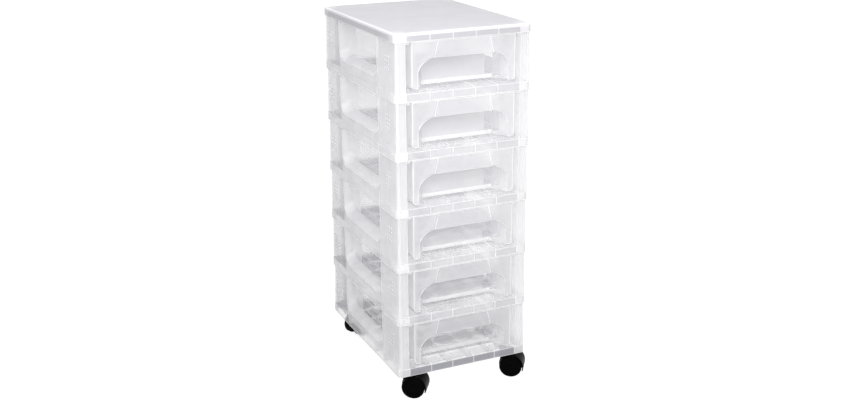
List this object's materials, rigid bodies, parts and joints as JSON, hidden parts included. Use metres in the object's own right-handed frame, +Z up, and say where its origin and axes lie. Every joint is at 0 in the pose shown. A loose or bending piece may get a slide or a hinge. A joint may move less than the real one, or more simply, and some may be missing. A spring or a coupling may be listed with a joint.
{
  "type": "drawer tower",
  "caption": "Tall see-through plastic drawer tower: stacked frames with sliding drawers, finger scoops, side recesses, a flat lid and twin-wheel castors.",
  "frame": {"origin": "on the floor, under the middle of the tower's bands, between the castors", "axes": "+Z up; the drawers open towards -Y, the front; +X is to the right of someone who faces the front"},
  "size_m": [0.3196, 0.4101, 0.786],
  "materials": {
    "frame_plastic": "milky see-through polypropylene, satin",
    "drawer_plastic": "milky see-through polypropylene, satin",
    "lid_plastic": "frosted see-through polypropylene",
    "castor_black": "glossy black nylon",
    "castor_wheel_black": "black nylon, satin tread",
    "castor_steel": "zinc-plated steel"
  },
  "bodies": {
    "tower": {"lid": "lid_plastic", "frame_1_deck": "frame_plastic", "frame_1_left_side": "frame_plastic", "frame_1_right_side": "frame_plastic", "frame_1_back": "frame_plastic", "frame_2_deck": "frame_plastic", "frame_2_left_side": "frame_plastic", "frame_2_right_side": "frame_plastic", "frame_2_back": "frame_plastic", "frame_3_deck": "frame_plastic", "frame_3_left_side": "frame_plastic", "frame_3_right_side": "frame_plastic", "frame_3_back": "frame_plastic", "frame_4_deck": "frame_plastic", "frame_4_left_side": "frame_plastic", "frame_4_right_side": "frame_plastic", "frame_4_back": "frame_plastic", "frame_5_deck": "frame_plastic", "frame_5_left_side": "frame_plastic", "frame_5_right_side": "frame_plastic", "frame_5_back": "frame_plastic", "frame_6_deck": "frame_plastic", "frame_6_left_side": "frame_plastic", "frame_6_right_side": "frame_plastic", "frame_6_back": "frame_plastic", "castor_front_left_stem": "castor_steel", "castor_front_right_stem": "castor_steel", "castor_rear_left_stem": "castor_steel", "castor_rear_right_stem": "castor_steel", "castor_front_left_grip_ring": "castor_steel", "castor_front_right_grip_ring": "castor_steel", "castor_rear_left_grip_ring": "castor_steel", "castor_rear_right_grip_ring": "castor_steel"},
    "drawer_1": {"drawer_1": "drawer_plastic"},
    "drawer_2": {"drawer_2": "drawer_plastic"},
    "drawer_3": {"drawer_3": "drawer_plastic"},
    "drawer_4": {"drawer_4": "drawer_plastic"},
    "drawer_5": {"drawer_5": "drawer_plastic"},
    "drawer_6": {"drawer_6": "drawer_plastic"},
    "castor_front_left": {"castor_front_left_hood": "castor_black", "castor_front_left_axle": "castor_steel"},
    "castor_front_left_wheel_near": {"castor_front_left_wheel_near": "castor_wheel_black"},
    "castor_front_left_wheel_far": {"castor_front_left_wheel_far": "castor_wheel_black"},
    "castor_front_right": {"castor_front_right_hood": "castor_black", "castor_front_right_axle": "castor_steel"},
    "castor_front_right_wheel_near": {"castor_front_right_wheel_near": "castor_wheel_black"},
    "castor_front_right_wheel_far": {"castor_front_right_wheel_far": "castor_wheel_black"},
    "castor_rear_left": {"castor_rear_left_hood": "castor_black", "castor_rear_left_axle": "castor_steel"},
    "castor_rear_left_wheel_near": {"castor_rear_left_wheel_near": "castor_wheel_black"},
    "castor_rear_left_wheel_far": {"castor_rear_left_wheel_far": "castor_wheel_black"},
    "castor_rear_right": {"castor_rear_right_hood": "castor_black", "castor_rear_right_axle": "castor_steel"},
    "castor_rear_right_wheel_near": {"castor_rear_right_wheel_near": "castor_wheel_black"},
    "castor_rear_right_wheel_far": {"castor_rear_right_wheel_far": "castor_wheel_black"}
  },
  "joints": [
    {"name": "drawer_1_slide", "type": "slide", "parent": "tower", "child": "drawer_1", "axis": [0, -1, 0], "range_m": [0, 0.3]},
    {"name": "drawer_2_slide", "type": "slide", "parent": "tower", "child": "drawer_2", "axis": [0, -1, 0], "range_m": [0, 0.3]},
    {"name": "drawer_3_slide", "type": "slide", "parent": "tower", "child": "drawer_3", "axis": [0, -1, 0], "range_m": [0, 0.3]},
    {"name": "drawer_4_slide", "type": "slide", "parent": "tower", "child": "drawer_4", "axis": [0, -1, 0], "range_m": [0, 0.3]},
    {"name": "drawer_5_slide", "type": "slide", "parent": "tower", "child": "drawer_5", "axis": [0, -1, 0], "range_m": [0, 0.3]},
    {"name": "drawer_6_slide", "type": "slide", "parent": "tower", "child": "drawer_6", "axis": [0, -1, 0], "range_m": [0, 0.3]},
    {"name": "castor_front_left_swivel", "type": "hinge", "parent": "tower", "child": "castor_front_left", "pos_m": [-0.118, -0.163, 0.05], "axis": [0, 0, 1], "continuous": true},
    {"name": "castor_front_left_wheel_near_spin", "type": "hinge", "parent": "castor_front_left", "child": "castor_front_left_wheel_near", "pos_m": [-0.10325, -0.17332, 0.025], "axis": [0.5736, 0.8192, 0], "continuous": true},
    {"name": "castor_front_left_wheel_far_spin", "type": "hinge", "parent": "castor_front_left", "child": "castor_front_left_wheel_far", "pos_m": [-0.10325, -0.17332, 0.025], "axis": [0.5736, 0.8192, 0], "continuous": true},
    {"name": "castor_front_right_swivel", "type": "hinge", "parent": "tower", "child": "castor_front_right", "pos_m": [0.118, -0.163, 0.05], "axis": [0, 0, 1], "continuous": true},
    {"name": "castor_front_right_wheel_near_spin", "type": "hinge", "parent": "castor_front_right", "child": "castor_front_right_wheel_near", "pos_m": [0.13275, -0.17332, 0.025], "axis": [0.5736, 0.8192, 0], "continuous": true},
    {"name": "castor_front_right_wheel_far_spin", "type": "hinge", "parent": "castor_front_right", "child": "castor_front_right_wheel_far", "pos_m": [0.13275, -0.17332, 0.025], "axis": [0.5736, 0.8192, 0], "continuous": true},
    {"name": "castor_rear_left_swivel", "type": "hinge", "parent": "tower", "child": "castor_rear_left", "pos_m": [-0.118, 0.163, 0.05], "axis": [0, 0, 1], "continuous": true},
    {"name": "castor_rear_left_wheel_near_spin", "type": "hinge", "parent": "castor_rear_left", "child": "castor_rear_left_wheel_near", "pos_m": [-0.10169, 0.17061, 0.025], "axis": [-0.4226, 0.9063, 0], "continuous": true},
    {"name": "castor_rear_left_wheel_far_spin", "type": "hinge", "parent": "castor_rear_left", "child": "castor_rear_left_wheel_far", "pos_m": [-0.10169, 0.17061, 0.025], "axis": [-0.4226, 0.9063, 0], "continuous": true},
    {"name": "castor_rear_right_swivel", "type": "hinge", "parent": "tower", "child": "castor_rear_right", "pos_m": [0.118, 0.163, 0.05], "axis": [0, 0, 1], "continuous": true},
    {"name": "castor_rear_right_wheel_near_spin", "type": "hinge", "parent": "castor_rear_right", "child": "castor_rear_right_wheel_near", "pos_m": [0.13491, 0.15684, 0.025], "axis": [0.342, 0.9397, 0], "continuous": true},
    {"name": "castor_rear_right_wheel_far_spin", "type": "hinge", "parent": "castor_rear_right", "child": "castor_rear_right_wheel_far", "pos_m": [0.13491, 0.15684, 0.025], "axis": [0.342, 0.9397, 0], "continuous": true}
  ]
}
